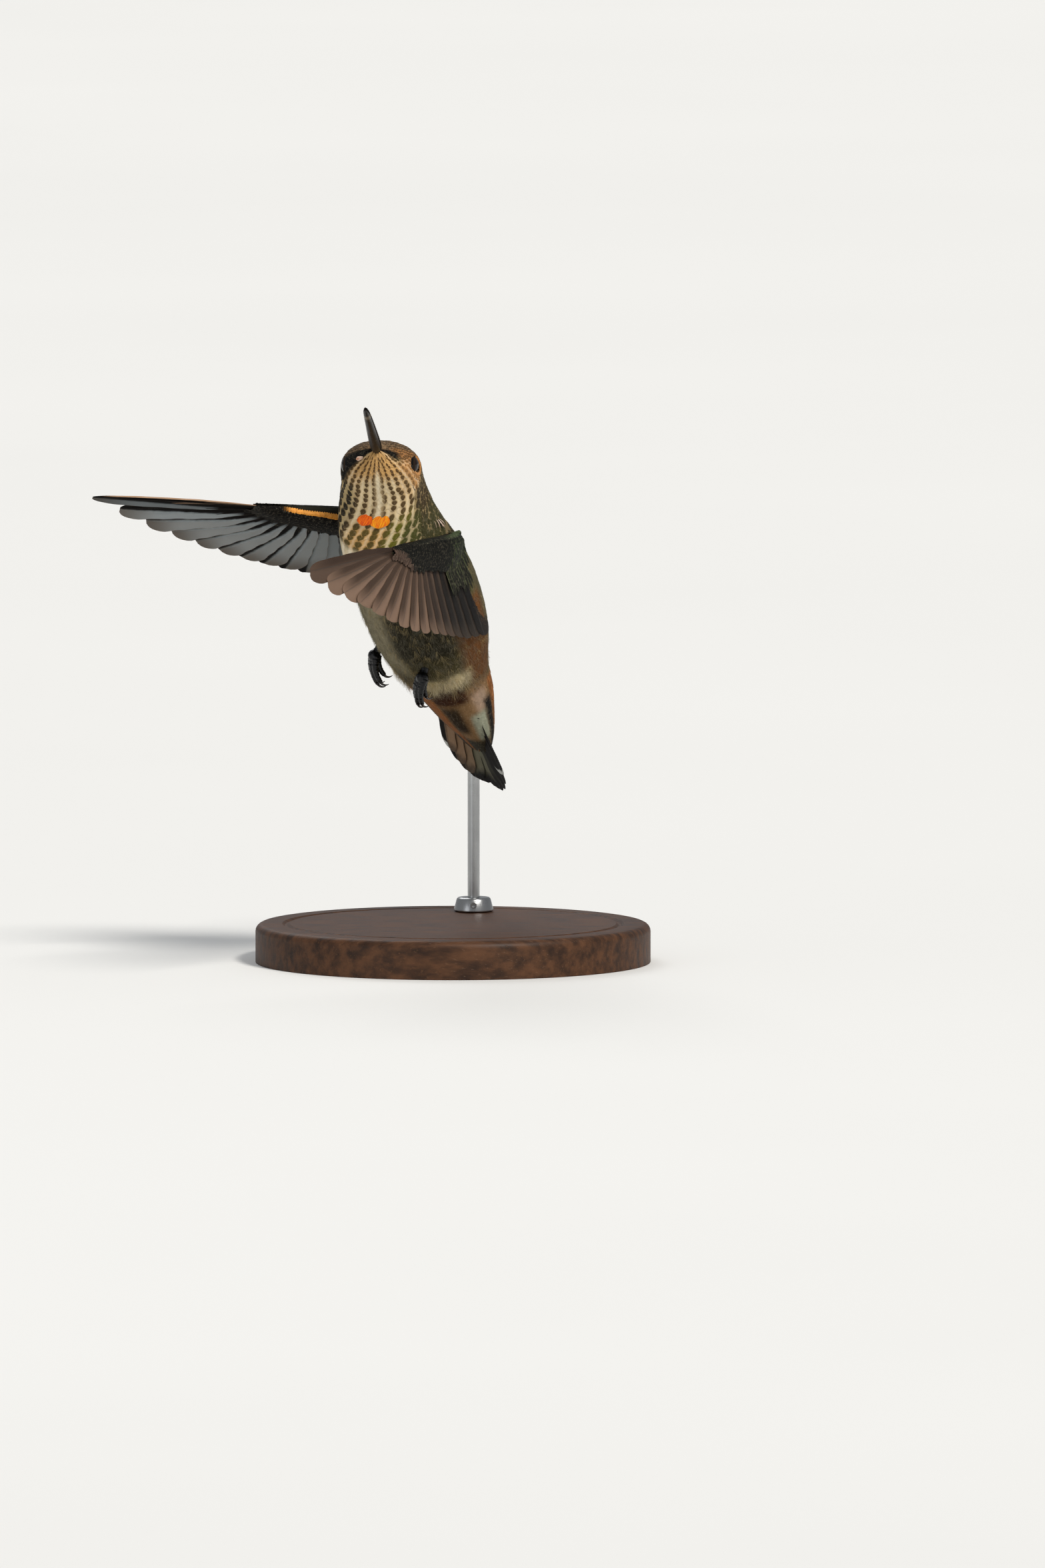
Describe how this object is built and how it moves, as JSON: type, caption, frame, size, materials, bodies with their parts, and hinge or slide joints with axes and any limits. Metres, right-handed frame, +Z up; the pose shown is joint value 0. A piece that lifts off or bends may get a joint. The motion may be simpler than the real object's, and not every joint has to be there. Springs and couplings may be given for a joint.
{
  "type": "hummingbird",
  "caption": "Life-size hovering hummingbird with spotted throat, wings swept forward, head turned, on a round display stand.",
  "frame": {"origin": "centre of the underside of the stand's round base", "axes": "+Z up out of the base; -Y is the side that the head, bill and wings face; +X is the bird's left"},
  "size_m": [0.0871, 0.0968, 0.0907],
  "materials": {
    "crown": "bronze-brown feathers with buff edges",
    "throat": "cream feathers spotted bronze-green, with one orange-red patch",
    "belly": "soft olive-grey feathers, whiter at the vent",
    "rufous": "rufous feathers",
    "tail": "rufous and black tail feathers, tipped white at the sides",
    "wing_coverts": "glossy dark green scale-like feathers",
    "wing": "dusky, slightly see-through flight feathers",
    "horn": "black horn, smooth and a little glossy",
    "eye": "dark brown, nearly black, wet gloss",
    "stand_wood": "dark wood, satin varnish",
    "stand_steel": "brushed, thin round rod"
  },
  "bodies": {
    "root": {"head": "crown", "neck": "throat", "trunk": "belly", "rump": "rufous", "tail_feathers": "tail", "bill_upper": "horn", "bill_lower": "horn", "eye_left": "eye", "eye_right": "eye", "leg_left": "horn", "leg_right": "horn", "foot_left": "horn", "foot_right": "horn", "claw_left_inner": "horn", "claw_left_middle": "horn", "claw_left_outer": "horn", "claw_left_hind": "horn", "claw_right_inner": "horn", "claw_right_middle": "horn", "claw_right_outer": "horn", "claw_right_hind": "horn", "wing_left_arm": "wing_coverts", "wing_left_primaries": "wing", "wing_left_secondaries": "wing", "wing_right_arm": "wing_coverts", "wing_right_primaries": "wing", "wing_right_secondaries": "wing", "stand_base": "stand_wood", "stand_collar": "stand_steel", "stand_rod": "stand_steel"}
  },
  "joints": []
}
